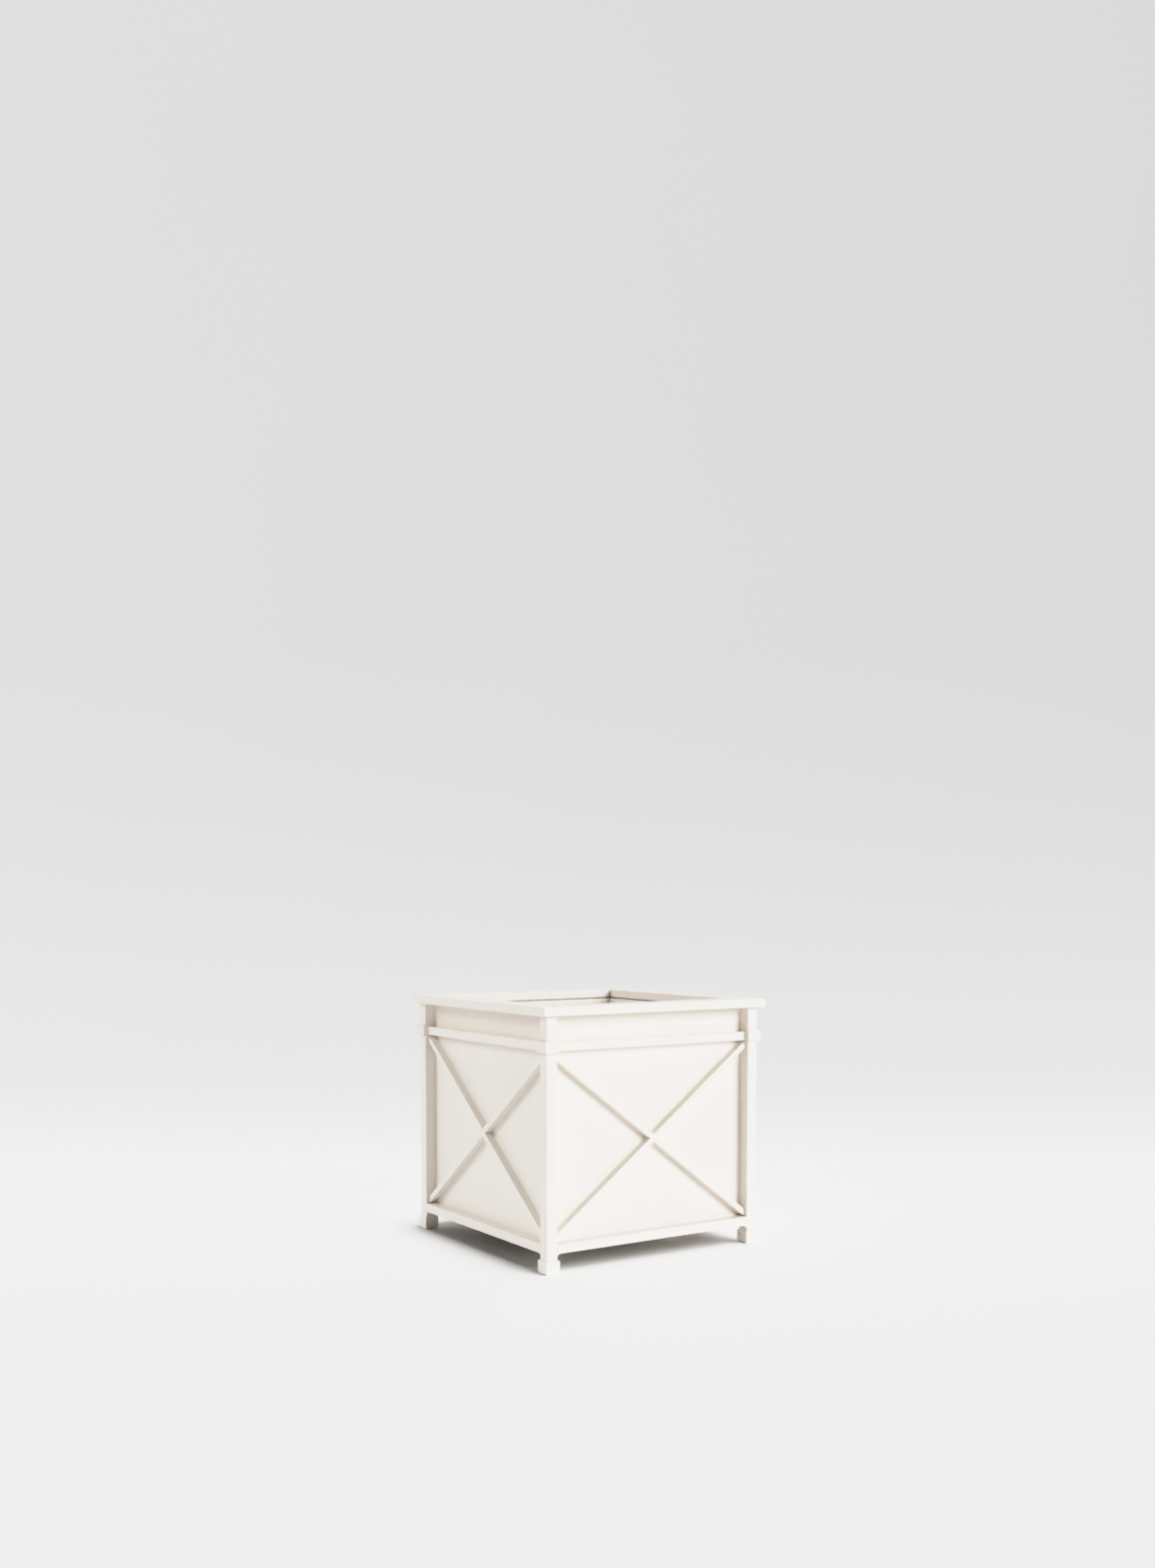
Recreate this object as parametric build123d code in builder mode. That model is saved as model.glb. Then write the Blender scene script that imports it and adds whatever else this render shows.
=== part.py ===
from build123d import *
import os
from math import cos, sin, radians, sqrt

os.makedirs("parts", exist_ok=True)

# ---- driving dimensions, millimetres, Z up, floor at Z = 0 ----
BODY = 600.0            # across the outer faces of the corner posts
HALF = BODY / 2
POST = 28.0             # square post section
POST_WALL = 1.5
POST_FOOT_Z = 12.0      # post end inside the shoe pocket
POST_TOP_Z = 573.0      # underside of the rim
POST_PLATE = 4.0

RIM_OUT = 629.0         # rim outer width
RIM_W = 65.0            # rim member width
RIM_T = 20.0            # rim member height
RIM_WALL = 1.5
RIM_Z = POST_TOP_Z

SHOE = 35.6             # foot shoe, square
SHOE_Z0, SHOE_Z1 = 4.0, 28.0
SHOE_BEVEL = 3.8
GLIDE = 34.6

LOW_Z0, LOW_Z1 = 43.5, 65.0      # lower rail
MID_Z0, MID_Z1 = 493.8, 513.8    # mid rail
MID_FRONT = 6.0                  # mid rail set back from the post face
RAIL_WALL = 1.5
GUSSET = 7.5                     # concave gusset under each lower rail end
GUSSET_D = 25.0

COLLAR_Z0, COLLAR_Z1 = 490.5, 517.8
COLLAR_OUT = 6.2                 # proud of the post face
COLLAR_SIDE = 2.5                # proud of the post side, towards the rail

PANEL_FRONT = 27.0               # panel face behind the post face
PANEL_T = 1.5
PANEL_Z0 = 46.0
FLANGE = 21.0                    # panel top flange, turned inward

BRACE_W = 14.0
BRACE_FRONT = 8.5
BRACE_WALL = 1.5

ANGLE_LEG, ANGLE_T = 20.0, 1.5

PAN_Z0, PAN_Z1 = 61.0, 62.5      # base pan floor
PAN_SKIRT_Z = 46.0
PAN_T = 1.5
PAN_HALF = HALF - PANEL_FRONT - PANEL_T

BEARER_Y = 120.0
BEARER_W, BEARER_H, BEARER_WALL = 40.0, 12.0, 1.5
BEARER_HALF = PAN_HALF - PAN_T

STRIP_Y, STRIP_L, STRIP_W, STRIP_T = 155.0, 440.0, 20.0, 4.0

LINER = 493.0
LINER_WALL = 1.2
LINER_Z0 = PAN_Z1 + STRIP_T
LINER_Z1 = 570.0
HEM_T, HEM_H = 2.6, 12.0

DRAINS = [(0, 0), (170, 190), (-170, 190), (170, -190), (-170, -190)]
PAN_DRAIN_R = 10.0
LINER_DRAIN_R = 8.0

KEY_T = 4.0

RIM_SCREW_X = [-180.0, 0.0, 180.0]
RIM_SCREW_IN = 38.0              # screw line behind the post face
BEARER_SCREW_X = [-200.0, 0.0, 200.0]

SIDES = {"front": 0, "right": 90, "back": 180, "left": 270}
CORNERS = {"front_left": 0, "front_right": 90, "back_right": 180, "back_left": 270}


def flat(angle):
    """Horizontal plane turned so its local -Y points out of the side."""
    a = radians(angle)
    return Plane(origin=(0, 0, 0), x_dir=(cos(a), sin(a), 0), z_dir=(0, 0, 1))


def upright(angle, depth):
    """Vertical plane parallel to a side, local X along it, local Y up,
    depth millimetres behind the post face, normal pointing outward."""
    a = radians(angle)
    out = (sin(a), -cos(a), 0)
    d = HALF - depth
    return Plane(origin=(out[0] * d, out[1] * d, 0),
                 x_dir=(cos(a), sin(a), 0), z_dir=out)


def across(angle):
    """Vertical plane square to a side: normal runs along the side,
    local X points inward, local Y up."""
    a = radians(angle)
    return Plane(origin=(0, 0, 0), x_dir=(-sin(a), cos(a), 0),
                 z_dir=(cos(a), sin(a), 0))


def save(builder, name):
    builder.part.label = name
    export_step(builder.part, "parts/" + name + ".step")


PC = -(HALF - POST / 2)          # post centre, local x and y

# ---- corner posts, collars, shoes, glides, inner corner angles ----
for corner, ang in CORNERS.items():
    base = flat(ang)

    with BuildPart() as post:
        with BuildSketch(base.offset(POST_FOOT_Z)):
            with Locations((PC, PC)):
                RectangleRounded(POST, POST, 1.5)
                RectangleRounded(POST - 2 * POST_WALL, POST - 2 * POST_WALL,
                                 0.6, mode=Mode.SUBTRACT)
        extrude(amount=POST_TOP_Z - POST_FOOT_Z)
        with BuildSketch(base.offset(POST_TOP_Z - POST_PLATE)):
            with Locations((PC, PC)):
                RectangleRounded(POST - 1.0, POST - 1.0, 1.0)
        extrude(amount=POST_PLATE)
    save(post, "corner_post_" + corner)

    lo = -HALF - COLLAR_OUT
    hi = -HALF + POST + COLLAR_SIDE
    size = hi - lo
    with BuildPart() as collar:
        with BuildSketch(base.offset(COLLAR_Z0)):
            with Locations(((lo + hi) / 2, (lo + hi) / 2)):
                Rectangle(size, size)
            with Locations((-HALF + POST, -HALF + POST)):
                Rectangle(2 * POST, 2 * POST, mode=Mode.SUBTRACT)
            inner = -HALF + PANEL_FRONT
            with Locations((inner + 10, inner + 10)):
                Rectangle(20, 20, mode=Mode.SUBTRACT)
            # side returns beside the post
            with Locations((-HALF + POST + COLLAR_SIDE / 2, (-HALF + inner) / 2)):
                Rectangle(COLLAR_SIDE, inner + HALF)
            with Locations(((-HALF + inner) / 2, -HALF + POST + COLLAR_SIDE / 2)):
                Rectangle(inner + HALF, COLLAR_SIDE)
        extrude(amount=COLLAR_Z1 - COLLAR_Z0)
        ends = collar.faces().sort_by(Axis.Z)
        chamfer(ends[0].outer_wire().edges().filter_by(
            lambda e: e.length > size - 0.01) +
            ends[-1].outer_wire().edges().filter_by(
            lambda e: e.length > size - 0.01), length=0.8)
    save(collar, "post_collar_" + corner)

    with BuildPart() as shoe:
        with BuildSketch(base.offset(SHOE_Z0)):
            with Locations((PC, PC)):
                Rectangle(SHOE, SHOE)
        extrude(amount=SHOE_Z1 + SHOE_BEVEL - SHOE_Z0)
        chamfer(shoe.faces().sort_by(Axis.Z)[-1].outer_wire().edges(),
                length=SHOE_BEVEL - 0.15)
        with BuildSketch(base.offset(POST_FOOT_Z)):
            with Locations((PC, PC)):
                RectangleRounded(POST, POST, 1.5)
        extrude(amount=40, mode=Mode.SUBTRACT)
        with BuildSketch(base.offset(POST_FOOT_Z)):
            with Locations((PC, PC)):
                RectangleRounded(POST - 2 * POST_WALL - 0.4,
                                 POST - 2 * POST_WALL - 0.4, 0.6)
        extrude(amount=14)
    save(shoe, "foot_shoe_" + corner)

    with BuildPart() as glide:
        with BuildSketch(base):
            with Locations((PC, PC)):
                RectangleRounded(GLIDE, GLIDE, 3)
        extrude(amount=SHOE_Z0)
        chamfer(glide.faces().sort_by(Axis.Z)[0].outer_wire().edges(), length=1.2)
    save(glide, "foot_glide_" + corner)

    c0 = -(HALF - PANEL_FRONT - PANEL_T)
    with BuildPart() as angle_bar:
        with BuildSketch(base.offset(PAN_Z1)):
            with BuildLine():
                Polyline((c0, c0), (c0 + ANGLE_LEG, c0),
                         (c0 + ANGLE_LEG, c0 + ANGLE_T),
                         (c0 + ANGLE_T, c0 + ANGLE_T),
                         (c0 + ANGLE_T, c0 + ANGLE_LEG),
                         (c0, c0 + ANGLE_LEG), close=True)
            make_face()
        extrude(amount=POST_TOP_Z - PANEL_T - PAN_Z1)
    save(angle_bar, "inner_corner_angle_" + corner)

    # L-shaped plate key inside the hollow rim at the mitre
    k0 = -(RIM_OUT / 2 - RIM_W / 2)
    kw, kl = 30.0, 82.0
    with BuildPart() as key:
        with BuildSketch(base.offset(RIM_Z + RIM_WALL)):
            with BuildLine():
                Polyline((k0 - kw / 2, k0 - kw / 2), (k0 - kw / 2 + kl, k0 - kw / 2),
                         (k0 - kw / 2 + kl, k0 + kw / 2),
                         (k0 + kw / 2, k0 + kw / 2),
                         (k0 + kw / 2, k0 - kw / 2 + kl),
                         (k0 - kw / 2, k0 - kw / 2 + kl), close=True)
            make_face()
        extrude(amount=KEY_T)
    save(key, "rim_corner_key_" + corner)

# ---- braces: outer edge of each bar runs into the corner of the opening ----
RUN = BODY - 2 * POST
RISE = MID_Z0 - LOW_Z1
v = BRACE_W
for _ in range(30):
    slope = (RISE - v) / RUN
    v = BRACE_W * sqrt(1 + slope * slope)
E1 = RUN / 2
RISING = [(-E1, LOW_Z1), (E1, MID_Z0 - v), (E1, MID_Z0), (-E1, LOW_Z1 + v)]
FALLING = [(E1, LOW_Z1), (-E1, MID_Z0 - v), (-E1, MID_Z0), (E1, LOW_Z1 + v)]
BRACE_D = PANEL_FRONT - BRACE_FRONT
tv = BRACE_WALL * v / BRACE_W    # wall thickness measured upright
RISING_IN = [(-E1, LOW_Z1 + tv), (E1, MID_Z0 - v + tv),
             (E1, MID_Z0 - tv), (-E1, LOW_Z1 + v - tv)]
FALLING_IN = [(-x, z) for x, z in RISING_IN]
# upper ends are notched under the collars' side returns
NOTCH = [(sx * (E1 - COLLAR_SIDE / 2), COLLAR_Z0 + 10) for sx in (-1, 1)]

# ---- the four sides ----
for side, ang in SIDES.items():
    base = flat(ang)
    cut = across(ang)

    # rim member, hollow section, mitred at 45 degrees
    y0 = -RIM_OUT / 2
    with BuildPart() as rim:
        with BuildSketch(cut):
            with Locations((y0 + RIM_W / 2, RIM_Z + RIM_T / 2)):
                RectangleRounded(RIM_W, RIM_T, 1.2)
                Rectangle(RIM_W - 2 * RIM_WALL, RIM_T - 2 * RIM_WALL,
                          mode=Mode.SUBTRACT)
        extrude(amount=RIM_OUT / 2, both=True)
        with BuildSketch(base.offset(RIM_Z - 5)):
            for s in (-1, 1):
                with BuildLine():
                    Polyline((s * RIM_OUT / 2, y0), (s * (RIM_OUT / 2 + 5), y0),
                             (s * (RIM_OUT / 2 + 5), y0 + RIM_W + 5),
                             (s * (RIM_OUT / 2 - RIM_W - 5), y0 + RIM_W + 5),
                             close=True)
                make_face()
        extrude(amount=RIM_T + 10, mode=Mode.SUBTRACT)
        with BuildSketch(base.offset(RIM_Z)):
            with Locations(*[(x, -HALF + RIM_SCREW_IN) for x in RIM_SCREW_X]):
                Circle(2.1)
        extrude(amount=RIM_WALL, mode=Mode.SUBTRACT)
    save(rim, "rim_" + side)

    # mid rail, between the collars
    mh = HALF - POST - COLLAR_SIDE
    md = PANEL_FRONT - MID_FRONT
    with BuildPart() as mid:
        with BuildSketch(cut):
            with Locations((-HALF + MID_FRONT + md / 2, (MID_Z0 + MID_Z1) / 2)):
                RectangleRounded(md, MID_Z1 - MID_Z0, 1.0)
                Rectangle(md - 2 * RAIL_WALL, MID_Z1 - MID_Z0 - 2 * RAIL_WALL,
                          mode=Mode.SUBTRACT)
        extrude(amount=mh, both=True)
    save(mid, "mid_rail_" + side)

    # lower rail, flush with the post faces
    with BuildPart() as low:
        with BuildSketch(cut):
            with Locations((-HALF + PANEL_FRONT / 2, (LOW_Z0 + LOW_Z1) / 2)):
                RectangleRounded(PANEL_FRONT, LOW_Z1 - LOW_Z0, 1.0)
                Rectangle(PANEL_FRONT - 2 * RAIL_WALL,
                          LOW_Z1 - LOW_Z0 - 2 * RAIL_WALL, mode=Mode.SUBTRACT)
        extrude(amount=HALF - POST, both=True)
    save(low, "lower_rail_" + side)

    # side panel, edges mitred behind the posts, top flange under the rim
    pf = -HALF + PANEL_FRONT
    pb = pf + PANEL_T
    pe = HALF - POST
    me = HALF - PANEL_FRONT - PANEL_T
    with BuildPart() as panel:
        with BuildSketch(base.offset(PANEL_Z0)):
            with BuildLine():
                Polyline((-pe, pf), (pe, pf), (pe, pf + POST - PANEL_FRONT),
                         (me, pb), (-me, pb), (-pe, pf + POST - PANEL_FRONT),
                         close=True)
            make_face()
        extrude(amount=POST_TOP_Z - PANEL_Z0)
        fl = pf + FLANGE
        with BuildSketch(base.offset(POST_TOP_Z - PANEL_T)):
            with BuildLine():
                Polyline((-me, pb), (me, pb), (-fl, fl), (fl, fl), close=True)
            make_face()
        extrude(amount=PANEL_T)
        with BuildSketch(base.offset(POST_TOP_Z - PANEL_T)):
            with Locations(*[(x, -HALF + RIM_SCREW_IN) for x in RIM_SCREW_X]):
                Circle(2.1)
        extrude(amount=PANEL_T, mode=Mode.SUBTRACT)
    save(panel, "side_panel_" + side)

    # cross braces, half lapped where they cross
    face = upright(ang, PANEL_FRONT)
    with BuildPart() as rising:
        with BuildSketch(face):
            with BuildLine():
                Polyline(*RISING, close=True)
            make_face()
            with Locations(*NOTCH):
                Rectangle(COLLAR_SIDE, 20, mode=Mode.SUBTRACT)
        extrude(amount=BRACE_D)
        with BuildSketch(face.offset(BRACE_WALL)):
            with BuildLine():
                Polyline(*RISING_IN, close=True)
            make_face()
        extrude(amount=BRACE_D - 2 * BRACE_WALL, mode=Mode.SUBTRACT)
        with BuildSketch(face.offset(BRACE_D / 2)):
            with BuildLine():
                Polyline(*FALLING, close=True)
            make_face()
        extrude(amount=BRACE_D, mode=Mode.SUBTRACT)
    save(rising, "brace_rising_" + side)
    with BuildPart() as falling:
        with BuildSketch(face):
            with BuildLine():
                Polyline(*FALLING, close=True)
            make_face()
            with Locations(*NOTCH):
                Rectangle(COLLAR_SIDE, 20, mode=Mode.SUBTRACT)
        extrude(amount=BRACE_D)
        with BuildSketch(face.offset(BRACE_WALL)):
            with BuildLine():
                Polyline(*FALLING_IN, close=True)
            make_face()
        extrude(amount=BRACE_D - 2 * BRACE_WALL, mode=Mode.SUBTRACT)
        with BuildSketch(face):
            with BuildLine():
                Polyline(*RISING, close=True)
            make_face()
        extrude(amount=BRACE_D / 2, mode=Mode.SUBTRACT)
    save(falling, "brace_falling_" + side)

# ---- base pan: floor with a skirt turned down, drained ----
with BuildPart() as pan:
    with BuildSketch(Plane.XY.offset(PAN_SKIRT_Z)):
        Rectangle(2 * PAN_HALF, 2 * PAN_HALF)
    extrude(amount=PAN_Z1 - PAN_SKIRT_Z)
    with BuildSketch(Plane.XY.offset(PAN_SKIRT_Z)):
        Rectangle(2 * (PAN_HALF - PAN_T), 2 * (PAN_HALF - PAN_T))
    extrude(amount=PAN_Z0 - PAN_SKIRT_Z, mode=Mode.SUBTRACT)
    with BuildSketch(Plane.XY.offset(PAN_Z0)):
        with Locations(*DRAINS):
            Circle(PAN_DRAIN_R)
        with Locations(*[(x, s * BEARER_Y) for x in BEARER_SCREW_X for s in (-1, 1)]):
            Circle(2.6)
    extrude(amount=PAN_Z1 - PAN_Z0, mode=Mode.SUBTRACT)
save(pan, "base_pan")

# ---- base bearers under the pan ----
for name, s in (("front", -1), ("back", 1)):
    with BuildPart() as bearer:
        with BuildSketch(Plane.YZ):
            with Locations((s * BEARER_Y, PAN_Z0 - BEARER_H / 2)):
                RectangleRounded(BEARER_W, BEARER_H, 1.0)
                Rectangle(BEARER_W - 2 * BEARER_WALL, BEARER_H - 2 * BEARER_WALL,
                          mode=Mode.SUBTRACT)
        extrude(amount=BEARER_HALF, both=True)
        with BuildSketch(Plane.XY.offset(PAN_Z0 - BEARER_H)):
            with Locations(*[(x, s * BEARER_Y) for x in BEARER_SCREW_X]):
                Circle(2.6)
        extrude(amount=BEARER_H, mode=Mode.SUBTRACT)
    save(bearer, "base_bearer_" + name)

    with BuildPart() as strip:
        with BuildSketch(Plane.XY.offset(PAN_Z1)):
            with Locations((0, s * STRIP_Y)):
                Rectangle(STRIP_L, STRIP_W)
        extrude(amount=STRIP_T)
    save(strip, "liner_rest_strip_" + name)

# ---- small concave gussets where the lower rails meet the posts ----
with BuildPart() as gussets:
    for ang in SIDES.values():
        with BuildSketch(upright(ang, PANEL_FRONT - 1.0)):
            for s in (-1, 1):
                cx = s * (HALF - POST - GUSSET / 2)
                with Locations((cx, LOW_Z0 - GUSSET / 2)):
                    Rectangle(GUSSET, GUSSET)
            with Locations(*[(s * (HALF - POST - GUSSET), LOW_Z0 - GUSSET)
                             for s in (-1, 1)]):
                Circle(GUSSET - 0.6, mode=Mode.SUBTRACT)
        extrude(amount=GUSSET_D)
save(gussets, "rail_end_gussets")

# ---- screws ----
with BuildPart() as base_screws:
    spots = [(x, s * BEARER_Y) for x in BEARER_SCREW_X for s in (-1, 1)]
    with BuildSketch(Plane.XY.offset(PAN_Z0 - BEARER_H)):
        with Locations(*spots):
            Circle(2.4)
    extrude(amount=PAN_Z1 - PAN_Z0 + BEARER_H)
    with BuildSketch(Plane.XY.offset(PAN_Z0 - BEARER_H)):
        with Locations(*spots):
            Circle(4.5)
    extrude(amount=-2.6)
save(base_screws, "base_screws")

with BuildPart() as rim_screws:
    spots = []
    for ang in (0, 90, 180, 270):
        a = radians(ang)
        for x in RIM_SCREW_X:
            y = -HALF + RIM_SCREW_IN
            spots.append((x * cos(a) - y * sin(a), x * sin(a) + y * cos(a)))
    with BuildSketch(Plane.XY.offset(POST_TOP_Z - PANEL_T)):
        with Locations(*spots):
            Circle(1.95)
    extrude(amount=PANEL_T + 9)
    with BuildSketch(Plane.XY.offset(POST_TOP_Z - PANEL_T)):
        with Locations(*spots):
            Circle(4.0)
    extrude(amount=-2.4)
save(rim_screws, "rim_screws")

# ---- lift-out liner: open box with a hemmed top edge and drained floor ----
with BuildPart() as liner:
    with BuildSketch(Plane.XY.offset(LINER_Z0)):
        RectangleRounded(LINER, LINER, 4)
    extrude(amount=LINER_Z1 - LINER_Z0)
    with BuildSketch(Plane.XY.offset(LINER_Z0 + LINER_WALL)):
        RectangleRounded(LINER - 2 * LINER_WALL, LINER - 2 * LINER_WALL, 2)
    extrude(amount=LINER_Z1 - LINER_Z0, mode=Mode.SUBTRACT)
    with BuildSketch(Plane.XY.offset(LINER_Z1 - HEM_H)):
        RectangleRounded(LINER - 2 * LINER_WALL + 0.2, LINER - 2 * LINER_WALL + 0.2, 2)
        Rectangle(LINER - 2 * HEM_T, LINER - 2 * HEM_T, mode=Mode.SUBTRACT)
    extrude(amount=HEM_H)
    with BuildSketch(Plane.XY.offset(LINER_Z0)):
        with Locations(*DRAINS):
            Circle(LINER_DRAIN_R)
    extrude(amount=LINER_WALL, mode=Mode.SUBTRACT)
save(liner, "planting_liner")
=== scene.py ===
import math

import bmesh
import bpy
from mathutils import Matrix, Vector

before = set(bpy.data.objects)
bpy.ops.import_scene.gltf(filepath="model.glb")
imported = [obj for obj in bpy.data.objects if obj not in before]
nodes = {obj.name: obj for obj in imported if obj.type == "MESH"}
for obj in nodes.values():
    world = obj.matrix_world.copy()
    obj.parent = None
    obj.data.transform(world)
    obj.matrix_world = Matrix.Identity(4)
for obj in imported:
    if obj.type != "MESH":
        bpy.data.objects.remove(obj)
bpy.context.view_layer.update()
scene = bpy.context.scene
scene.view_settings.view_transform = "Standard"
# Film shoulder: scene-linear in, scene-linear out.
TONE = [(0.0, 0.0), (0.10, 0.11), (0.30, 0.38), (0.50, 0.585), (0.70, 0.765),
        (0.90, 0.852), (1.10, 0.905), (1.30, 0.945), (1.60, 0.98), (2.0, 1.0)]
scene.view_settings.use_curve_mapping = True
cm = scene.view_settings.curve_mapping
cm.white_level = (2.0, 2.0, 2.0)
cm.extend = "HORIZONTAL"
curve = cm.curves[3]
while len(curve.points) < len(TONE):
    curve.points.new(0.5, 0.5)
for p, (x, y) in zip(curve.points, TONE):
    p.location = (x / 2.0, y)
    p.handle_type = "AUTO_CLAMPED"
cm.update()


# ------------------------------------------------------------------ materials
def new_material(name):
    m = bpy.data.materials.new(name)
    m.use_nodes = True
    t = m.node_tree
    t.nodes.clear()
    out = t.nodes.new("ShaderNodeOutputMaterial")
    bsdf = t.nodes.new("ShaderNodeBsdfPrincipled")
    t.links.new(bsdf.outputs["BSDF"], out.inputs["Surface"])
    return m, t, bsdf


def noise(t, coord, scale, detail=2.0, rough=0.5, dist=0.0):
    n = t.nodes.new("ShaderNodeTexNoise")
    n.inputs["Scale"].default_value = scale
    n.inputs["Detail"].default_value = detail
    n.inputs["Roughness"].default_value = rough
    n.inputs["Distortion"].default_value = dist
    t.links.new(coord, n.inputs["Vector"])
    return n.outputs["Fac"]


def math_node(t, op, a, b=None, clamp=False):
    n = t.nodes.new("ShaderNodeMath")
    n.operation = op
    n.use_clamp = clamp
    for i, v in enumerate((a, b)):
        if v is None:
            continue
        if hasattr(v, "default_value") or hasattr(v, "is_linked"):
            t.links.new(v, n.inputs[i])
        else:
            n.inputs[i].default_value = v
    return n.outputs[0]


def remap(t, v, a, b, c, d):
    n = t.nodes.new("ShaderNodeMapRange")
    for i, x in enumerate((a, b, c, d), start=1):
        n.inputs[i].default_value = x
    t.links.new(v, n.inputs[0])
    return n.outputs[0]


def mix_colour(t, fac, a, b):
    n = t.nodes.new("ShaderNodeMix")
    n.data_type = "RGBA"
    for sock, v in ((n.inputs[0], fac), (n.inputs[6], a), (n.inputs[7], b)):
        if isinstance(v, (tuple, list)):
            sock.default_value = (*v, 1.0) if len(v) == 3 else v
        elif isinstance(v, float):
            sock.default_value = v
        else:
            t.links.new(v, sock)
    return n.outputs[2]


def moved(t, coord, offset, stretch=(1, 1, 1)):
    n = t.nodes.new("ShaderNodeMapping")
    n.inputs["Location"].default_value = offset
    n.inputs["Scale"].default_value = stretch
    t.links.new(coord, n.inputs["Vector"])
    return n.outputs["Vector"]


def powder_coat(name, base, rough=0.46, seed=0.0, peel=1.0):
    """Satin polyester powder coat: a soft cloud of tone, fine speckle, orange
    peel, and a painted highlight that lightens the colour on convex edges."""
    m, t, b = new_material(name)
    tc = t.nodes.new("ShaderNodeTexCoord")
    co = moved(t, tc.outputs["Object"], (seed, seed * 0.7, -seed * 0.4))
    cloud = noise(t, co, 4.0, 3.0, 0.55)
    blot = noise(t, co, 38.0, 2.0, 0.5)
    speck = noise(t, co, 950.0, 1.0, 0.5)
    dark = tuple(c * 0.965 for c in base)
    lite = tuple(min(1.0, c * 1.018) for c in base)
    warm = (base[0] * 0.995, base[1] * 0.982, base[2] * 0.955)
    c1 = mix_colour(t, remap(t, cloud, 0.32, 0.68, 0.0, 1.0), dark, lite)
    c2 = mix_colour(t, remap(t, blot, 0.45, 0.8, 0.0, 0.5), c1, warm)
    c3 = mix_colour(t, remap(t, speck, 0.62, 0.78, 0.0, 0.22), c2,
                    tuple(c * 0.90 for c in base))
    geo = t.nodes.new("ShaderNodeNewGeometry")
    # painted highlight: convex edges (high pointiness) are lightened towards base × 1.05
    painted_edge_highlight = remap(t, geo.outputs["Pointiness"], 0.505, 0.56, 0.0, 0.35)
    c4 = mix_colour(t, painted_edge_highlight, c3, tuple(min(1.0, c * 1.05) for c in base))
    t.links.new(c4, b.inputs["Base Color"])
    r = math_node(t, "ADD", remap(t, blot, 0.3, 0.7, rough - 0.045, rough + 0.045),
                  remap(t, speck, 0.3, 0.7, -0.02, 0.02), clamp=True)
    t.links.new(r, b.inputs["Roughness"])
    b.inputs["Specular IOR Level"].default_value = 0.42
    b.inputs["Coat Weight"].default_value = 0.06
    b.inputs["Coat Roughness"].default_value = 0.22
    wave = noise(t, co, 300.0, 1.5, 0.4)
    grit = noise(t, co, 1500.0, 1.0, 0.5)
    h = math_node(t, "ADD", math_node(t, "MULTIPLY", wave, 1.0),
                  math_node(t, "MULTIPLY", grit, 0.18))
    bump = t.nodes.new("ShaderNodeBump")
    bump.inputs["Strength"].default_value = 0.35
    bump.inputs["Distance"].default_value = 0.00012 * peel
    t.links.new(h, bump.inputs["Height"])
    t.links.new(bump.outputs["Normal"], b.inputs["Normal"])
    return m


def sheet_steel(name, base):
    """Primed steel behind the coat, a little uneven."""
    m, t, b = new_material(name)
    tc = t.nodes.new("ShaderNodeTexCoord")
    co = tc.outputs["Object"]
    cloud = noise(t, co, 14.0, 4.0, 0.6)
    fine = noise(t, co, 420.0, 2.0, 0.5)
    c1 = mix_colour(t, remap(t, cloud, 0.3, 0.7, 0.0, 1.0),
                    tuple(c * 0.86 for c in base), base)
    t.links.new(c1, b.inputs["Base Color"])
    t.links.new(remap(t, fine, 0.3, 0.7, 0.55, 0.72), b.inputs["Roughness"])
    bump = t.nodes.new("ShaderNodeBump")
    bump.inputs["Strength"].default_value = 0.3
    bump.inputs["Distance"].default_value = 0.0001
    t.links.new(fine, bump.inputs["Height"])
    t.links.new(bump.outputs["Normal"], b.inputs["Normal"])
    return m


def nylon(name, base):
    m, t, b = new_material(name)
    tc = t.nodes.new("ShaderNodeTexCoord")
    co = tc.outputs["Object"]
    grain = noise(t, co, 1100.0, 2.0, 0.55)
    scuff = noise(t, moved(t, co, (0, 0, 0), (1, 1, 8)), 60.0, 4.0, 0.65, 0.4)
    c1 = mix_colour(t, remap(t, scuff, 0.52, 0.75, 0.0, 0.5), base,
                    tuple(c * 0.82 for c in base))
    t.links.new(c1, b.inputs["Base Color"])
    t.links.new(remap(t, scuff, 0.3, 0.7, 0.5, 0.66), b.inputs["Roughness"])
    b.inputs["Subsurface Weight"].default_value = 0.05
    b.inputs["Subsurface Scale"].default_value = 0.002
    bump = t.nodes.new("ShaderNodeBump")
    bump.inputs["Strength"].default_value = 0.4
    bump.inputs["Distance"].default_value = 0.00008
    t.links.new(grain, bump.inputs["Height"])
    t.links.new(bump.outputs["Normal"], b.inputs["Normal"])
    return m


def rubber(name):
    m, t, b = new_material(name)
    tc = t.nodes.new("ShaderNodeTexCoord")
    co = tc.outputs["Object"]
    grain = noise(t, co, 700.0, 3.0, 0.6)
    bloom = noise(t, co, 30.0, 4.0, 0.6)
    c1 = mix_colour(t, remap(t, bloom, 0.4, 0.75, 0.0, 0.6), (0.018, 0.018, 0.019),
                    (0.055, 0.054, 0.052))
    t.links.new(c1, b.inputs["Base Color"])
    t.links.new(remap(t, bloom, 0.3, 0.7, 0.68, 0.85), b.inputs["Roughness"])
    bump = t.nodes.new("ShaderNodeBump")
    bump.inputs["Strength"].default_value = 0.6
    bump.inputs["Distance"].default_value = 0.0002
    t.links.new(grain, bump.inputs["Height"])
    t.links.new(bump.outputs["Normal"], b.inputs["Normal"])
    return m


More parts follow.
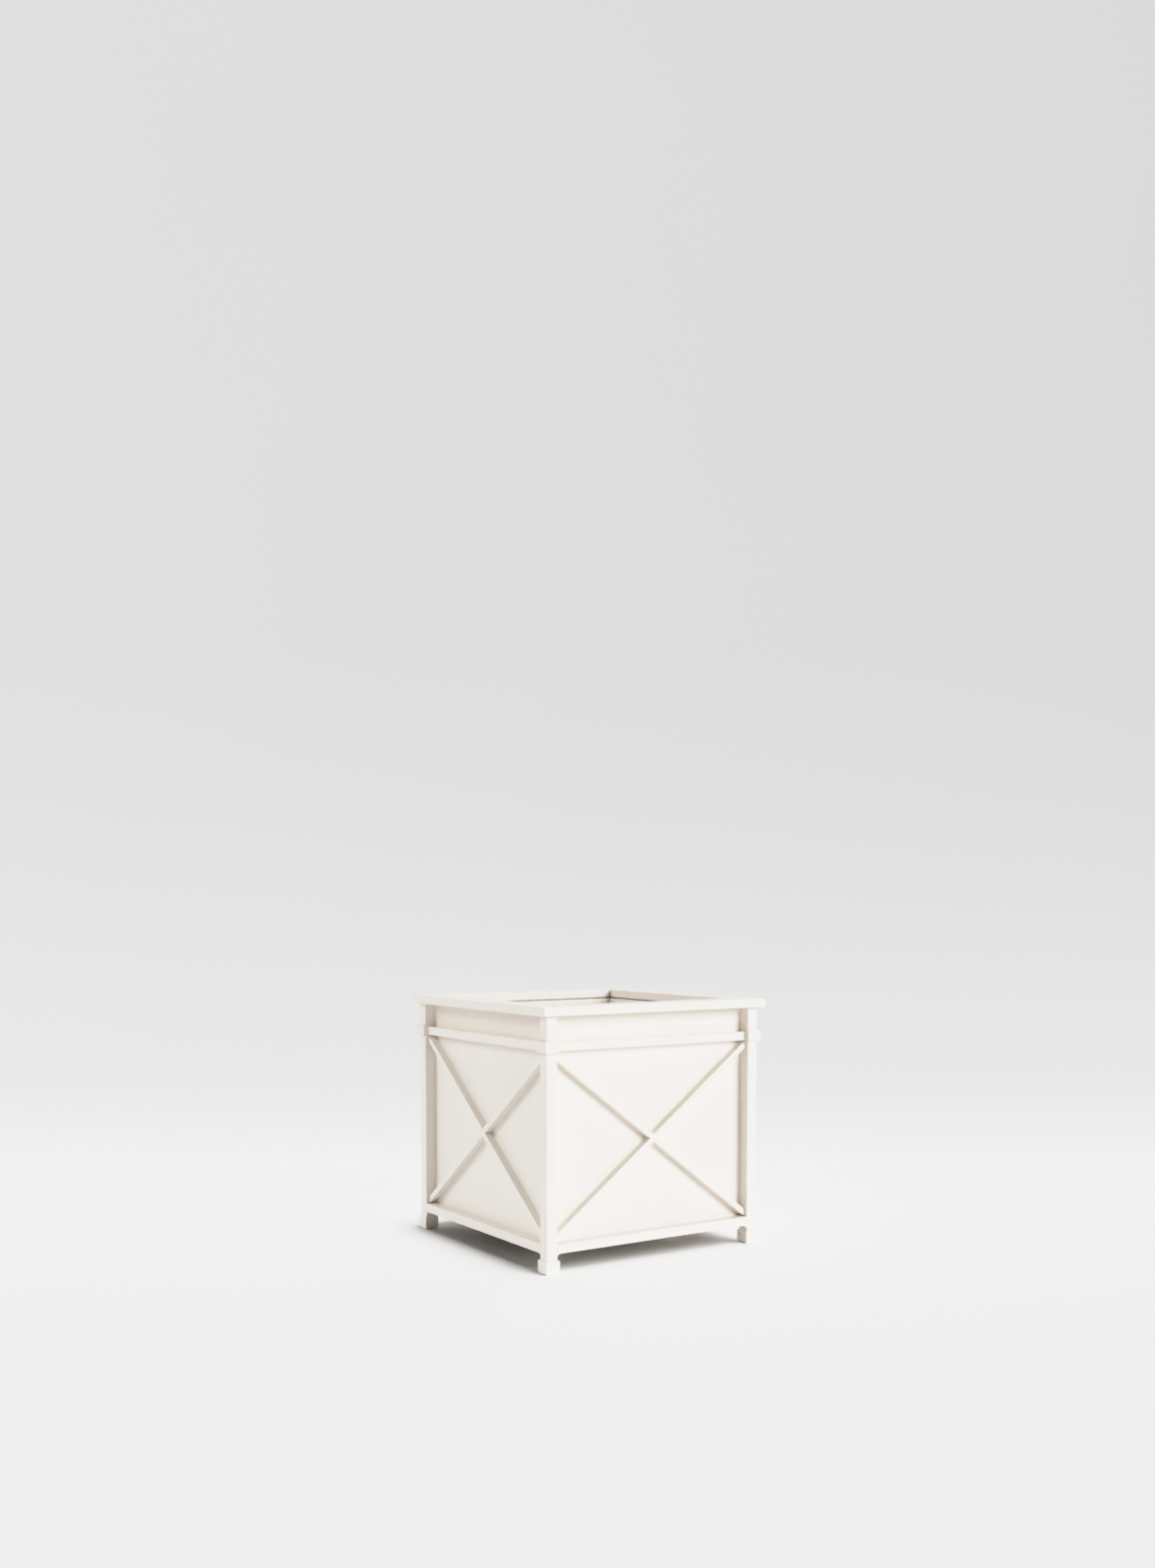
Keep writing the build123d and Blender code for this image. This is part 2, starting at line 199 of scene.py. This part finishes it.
def zinc(name):
    m, t, b = new_material(name)
    tc = t.nodes.new("ShaderNodeTexCoord")
    co = tc.outputs["Object"]
    patch = t.nodes.new("ShaderNodeTexVoronoi")
    patch.inputs["Scale"].default_value = 320.0
    t.links.new(co, patch.inputs["Vector"])
    haze = noise(t, co, 200.0, 3.0, 0.6)
    c1 = mix_colour(t, remap(t, haze, 0.3, 0.7, 0.0, 1.0), (0.50, 0.51, 0.53),
                    (0.66, 0.66, 0.64))
    t.links.new(c1, b.inputs["Base Color"])
    b.inputs["Metallic"].default_value = 1.0
    t.links.new(remap(t, patch.outputs["Distance"], 0.0, 0.6, 0.28, 0.45),
                b.inputs["Roughness"])
    bump = t.nodes.new("ShaderNodeBump")
    bump.inputs["Strength"].default_value = 0.3
    bump.inputs["Distance"].default_value = 0.00005
    t.links.new(haze, bump.inputs["Height"])
    t.links.new(bump.outputs["Normal"], b.inputs["Normal"])
    return m


CREAM = (0.845, 0.785, 0.713)
coats = {
    "post": powder_coat("cream_coat_posts", CREAM, 0.45, 0.0),
    "rail": powder_coat("cream_coat_rails", CREAM, 0.46, 1.7),
    "brace": powder_coat("cream_coat_braces", CREAM, 0.46, 3.1),
    "panel": powder_coat("cream_coat_panels", tuple(c * 0.995 for c in CREAM), 0.48, 4.9, 1.2),
    "rim": powder_coat("cream_coat_rim", CREAM, 0.44, 6.3),
    "shoe": powder_coat("cream_coat_shoes", CREAM, 0.5, 8.2, 1.6),
    "liner": powder_coat("cream_coat_liner", tuple(c * 0.985 for c in CREAM), 0.5, 9.4),
    "base": powder_coat("cream_coat_base", tuple(c * 0.97 for c in CREAM), 0.52, 11.2),
}
primed = sheet_steel("primed_steel", (0.42, 0.41, 0.39))
glide_mat = nylon("white_nylon", (0.88, 0.88, 0.865))
rubber_mat = rubber("black_rubber")
zinc_mat = zinc("zinc_plate")


def material_for(n):
    for key, mat in (
        ("foot_glide", glide_mat), ("liner_rest_strip", rubber_mat),
        ("rim_screws", zinc_mat), ("base_screws", zinc_mat),
        ("rim_corner_key", primed), ("inner_corner_angle", primed),
        ("foot_shoe", coats["shoe"]), ("corner_post", coats["post"]),
        ("post_collar", coats["post"]), ("planting_liner", coats["liner"]),
        ("side_panel", coats["panel"]), ("brace", coats["brace"]),
        ("base_", coats["base"]), ("rim_", coats["rim"]),
    ):
        if n.startswith(key):
            return mat
    return coats["rail"]


# Edge radius each kind of piece shows once coated, metres.
def edge_for(n):
    for key, w in (("side_panel", 0.0004), ("planting_liner", 0.0004),
                   ("base_pan", 0.0005), ("inner_corner_angle", 0.0004),
                   ("rim_corner_key", 0.0004), ("rim_screws", 0.0003),
                   ("base_screws", 0.0003), ("foot_shoe", 0.0006),
                   ("post_collar", 0.0008), ("foot_glide", 0.0004),
                   ("liner_rest_strip", 0.0006), ("brace", 0.0007),
                   ("rail_end", 0.0004), ("corner_post", 0.0004)):
        if n.startswith(key):
            return w
    return 0.0005


for name, o in nodes.items():
    o.data.materials.clear()
    o.data.materials.append(material_for(name))
    for p in o.data.polygons:
        p.use_smooth = True
    w = o.modifiers.new("join", "WELD")
    w.merge_threshold = 0.00001
    d = o.modifiers.new("flatten", "DECIMATE")
    d.decimate_type = "DISSOLVE"
    d.angle_limit = math.radians(0.4)
    b = o.modifiers.new("coat_edge", "BEVEL")
    b.width = edge_for(name)
    b.segments = 2
    b.limit_method = "ANGLE"
    b.angle_limit = math.radians(40)
    b.use_clamp_overlap = True
    b.miter_outer = "MITER_ARC"
    b.harden_normals = True
    wn = o.modifiers.new("flat_faces", "WEIGHTED_NORMAL")
    wn.keep_sharp = False
    wn.weight = 100

# ------------------------------------------------------------------ studio
VIEW_H = Vector((0.5505, 0.8348, 0.0)).normalized()   # camera heading, level
SIDE_H = Vector((VIEW_H.y, -VIEW_H.x, 0.0))
SWEEP_START, SWEEP_R = 1.15, 0.8


def from_side(azimuth, elevation):
    """Direction light travels when it comes from this azimuth (0 is the -Y
    side, 90 the +X side) and elevation, in degrees."""
    a, e = math.radians(azimuth), math.radians(elevation)
    return Vector((-math.sin(a) * math.cos(e), math.cos(a) * math.cos(e), -math.sin(e)))


def soft_sun(name, towards, strength, spread, colour=(1, 1, 1)):
    """Very large far softbox: parallel light with a wide soft edge."""
    ld = bpy.data.lights.new(name, "SUN")
    ld.energy = strength
    ld.angle = math.radians(spread)
    ld.color = colour
    o = bpy.data.objects.new(name, ld)
    scene.collection.objects.link(o)
    o.location = -towards * 3
    o.rotation_mode = "QUATERNION"
    o.rotation_quaternion = towards.to_track_quat("-Z", "Y")
    return o


def link_set(name, objs, state):
    c = bpy.data.collections.new(name)
    for o in objs:
        c.objects.link(o)
    for co in c.collection_objects:
        co.light_linking.link_state = state
    return c


FLOOR_DIR = from_side(40, 48)
FLOOR_ALBEDO = 0.80
FLOOR_TONE = 0.735
FLOOR_K = FLOOR_TONE / (FLOOR_ALBEDO * -FLOOR_DIR.z)
AMBIENT = 0.06
# height above the floor, tone the sweep shows there
SWEEP_TONES = [(0.0, FLOOR_TONE), (0.02, 0.765), (0.06, 0.765), (0.12, 0.775), (0.22, 0.785),
               (0.45, 0.765), (0.80, 0.715), (1.2, 0.675), (1.8, 0.645), (9.0, 0.635)]
WALL_TOP = 9.0


def sweep_mix(h, tone):
    """(diffuse share, glow) that together show this tone at this height."""
    phi = math.acos(max(-1.0, 1 - h / SWEEP_R)) if h < SWEEP_R else math.pi / 2
    n = Vector((0, 0, 1)) * math.cos(phi) - VIEW_H * math.sin(phi)
    a = FLOOR_ALBEDO * max(0.0, 1 - h / 0.22)
    return a, max(0.0, tone - a * (FLOOR_K * max(0.0, -n.dot(FLOOR_DIR)) + (AMBIENT if h else 0.0)))


def studio_paint(name):
    """Matt pale sweep: a lit floor that turns into a glowing wall; the glow is painted light,
    graded darker towards the top and brighter on one side.
    """
    m = bpy.data.materials.new(name)
    m.use_nodes = True
    t = m.node_tree
    t.nodes.clear()
    out = t.nodes.new("ShaderNodeOutputMaterial")
    tc = t.nodes.new("ShaderNodeTexCoord")
    sep = t.nodes.new("ShaderNodeSeparateXYZ")
    t.links.new(tc.outputs["Object"], sep.inputs[0])
    height = math_node(t, "POWER", remap(t, sep.outputs["Z"], 0.0, WALL_TOP, 0.0, 1.0), 0.25)
    ramps = []
    for which in (0, 1):
        ramp = t.nodes.new("ShaderNodeValToRGB")
        t.links.new(height, ramp.inputs[0])
        while len(ramp.color_ramp.elements) < len(SWEEP_TONES):
            ramp.color_ramp.elements.new(0.5)
        for e, (h, v) in zip(ramp.color_ramp.elements, SWEEP_TONES):
            g = sweep_mix(h, v)[which]
            e.position = (h / WALL_TOP) ** 0.25
            e.color = (g, g, g, 1)
        ramps.append(ramp.outputs["Color"])
    mottle = noise(t, tc.outputs["Object"], 1.3, 3.0, 0.5)
    across = t.nodes.new("ShaderNodeVectorMath")
    across.operation = "DOT_PRODUCT"
    across.inputs[1].default_value = SIDE_H
    t.links.new(tc.outputs["Object"], across.inputs[0])
    # painted light: the sweep is made up to 3.5 % brighter on one side, rising with height, as if
    # lit more from there
    painted_side_light = math_node(t, "MULTIPLY",
                     remap(t, across.outputs["Value"], -2.2, 2.2, 0.035, -0.035),
                     remap(t, sep.outputs["Z"], 0.0, 0.9, 0.0, 1.0))
    shade = math_node(t, "MULTIPLY", math_node(t, "ADD", painted_side_light, 1.0),
                      remap(t, mottle, 0.35, 0.65, 0.997, 1.003))
    diff = t.nodes.new("ShaderNodeBsdfDiffuse")
    t.links.new(math_node(t, "MULTIPLY", ramps[0], shade), diff.inputs["Color"])
    glow = t.nodes.new("ShaderNodeEmission")
    t.links.new(math_node(t, "MULTIPLY", ramps[1], shade), glow.inputs["Color"])
    add = t.nodes.new("ShaderNodeAddShader")
    t.links.new(diff.outputs[0], add.inputs[0])
    t.links.new(glow.outputs[0], add.inputs[1])
    t.links.new(add.outputs[0], out.inputs["Surface"])
    return m


def backdrop():
    """Floor that sweeps up into a wall behind the planter, one smooth sheet."""
    prof = [(-9.0, 0.0), (-4.0, 0.0), (0.0, 0.0), (0.8, 0.0)]
    steps = 24
    for i in range(steps + 1):
        a = math.pi / 2 * i / steps
        prof.append((SWEEP_START + SWEEP_R * math.sin(a), SWEEP_R * (1 - math.cos(a))))
    prof.append((SWEEP_START + SWEEP_R, 4.0))
    prof.append((SWEEP_START + SWEEP_R, 9.0))
    verts, faces = [], []
    for d, h in prof:
        for s in (-9.0, 9.0):
            p = VIEW_H * d + SIDE_H * s
            verts.append((p.x, p.y, h))
    for i in range(len(prof) - 1):
        faces.append((2 * i, 2 * i + 1, 2 * i + 3, 2 * i + 2))
    me = bpy.data.meshes.new("studio_floor")
    me.from_pydata(verts, [], faces)
    for p in me.polygons:
        p.use_smooth = True
    o = bpy.data.objects.new("studio_floor", me)
    scene.collection.objects.link(o)
    o.data.materials.append(studio_paint("studio_floor_paint"))
    return o


def surround():
    """Pale shell round the whole studio, behind the sheet. It gives no light
    and no shadow, so the studio looks finished from every side."""
    bm = bmesh.new()
    bmesh.ops.create_uvsphere(bm, u_segments=96, v_segments=48, radius=28.0)
    me = bpy.data.meshes.new("studio_surround")
    bm.to_mesh(me)
    bm.free()
    for p in me.polygons:
        p.use_smooth = True
    m = bpy.data.materials.new("studio_surround_paint")
    m.use_nodes = True
    t = m.node_tree
    t.nodes.clear()
    out = t.nodes.new("ShaderNodeOutputMaterial")
    tc = t.nodes.new("ShaderNodeTexCoord")
    sep = t.nodes.new("ShaderNodeSeparateXYZ")
    t.links.new(tc.outputs["Object"], sep.inputs[0])
    ramp = t.nodes.new("ShaderNodeValToRGB")
    t.links.new(remap(t, sep.outputs["Z"], -4.0, 20.0, 0.0, 1.0), ramp.inputs[0])
    tones = [(0.0, 0.735), (0.12, 0.735), (0.30, 0.71), (0.60, 0.66), (1.0, 0.635)]
    while len(ramp.color_ramp.elements) < len(tones):
        ramp.color_ramp.elements.new(0.5)
    for e, (at, v) in zip(ramp.color_ramp.elements, tones):
        e.position = at
        e.color = (v, v, v, 1)
    glow = t.nodes.new("ShaderNodeEmission")
    t.links.new(ramp.outputs["Color"], glow.inputs["Color"])
    t.links.new(glow.outputs[0], out.inputs["Surface"])
    o = bpy.data.objects.new("studio_surround", me)
    scene.collection.objects.link(o)
    o.data.materials.append(m)
    o.visible_diffuse = False
    o.visible_glossy = False
    o.visible_transmission = False
    o.visible_volume_scatter = False
    o.visible_shadow = False
    return o


floor = backdrop()
surround()

world = bpy.data.worlds.new("studio_world")
scene.world = world
world.use_nodes = True
bg = world.node_tree.nodes["Background"]
bg.inputs["Color"].default_value = (1.0, 1.0, 1.0, 1.0)
bg.inputs["Strength"].default_value = AMBIENT

# The floor has its own lamp, shadowed only by the planter's low base, so the
# studio stays pale and the shadow stays under the planter. The others light
# the planter alone.
base_nodes = [o for n, o in nodes.items()
              if n.startswith(("lower_rail", "base_pan", "base_bearer", "foot_", "rail_end"))]
off_floor = link_set("all_but_floor", [floor], "EXCLUDE")
floor_lamp = soft_sun("floor_lamp", FLOOR_DIR, FLOOR_K * math.pi, 60)
floor_lamp.light_linking.receiver_collection = link_set("floor_only", [floor], "INCLUDE")
floor_lamp.light_linking.blocker_collection = link_set("low_base", base_nodes, "INCLUDE")
for lamp in (soft_sun("key", from_side(26, 22), 0.981 * math.pi, 34),
             soft_sun("left_window", from_side(-110, 35), 0.47 * math.pi, 35),
             soft_sun("overhead", from_side(146, 75), 0.48 * math.pi, 20)):
    lamp.light_linking.receiver_collection = off_floor

# ------------------------------------------------------------------ camera
FOCAL_PX = 1478.41          # in a frame 1600 high
cam_data = bpy.data.cameras.new("camera")
cam_data.sensor_fit = "AUTO"
cam_data.sensor_width = 36.0
cam_data.lens = FOCAL_PX / 1600 * 36.0
cam_data.shift_x = 0.0
cam_data.shift_y = (1020.0 - 800.0) / 1600
cam_data.clip_start, cam_data.clip_end = 0.05, 60
cam = bpy.data.objects.new("camera", cam_data)
scene.collection.objects.link(cam)
cam.location = (-1.98203, -2.97225, 0.79271)
fwd = Vector((0.549781, 0.833302, -0.057870)).normalized()
cam.rotation_mode = "QUATERNION"
cam.rotation_quaternion = fwd.to_track_quat("-Z", "Y")
scene.camera = cam
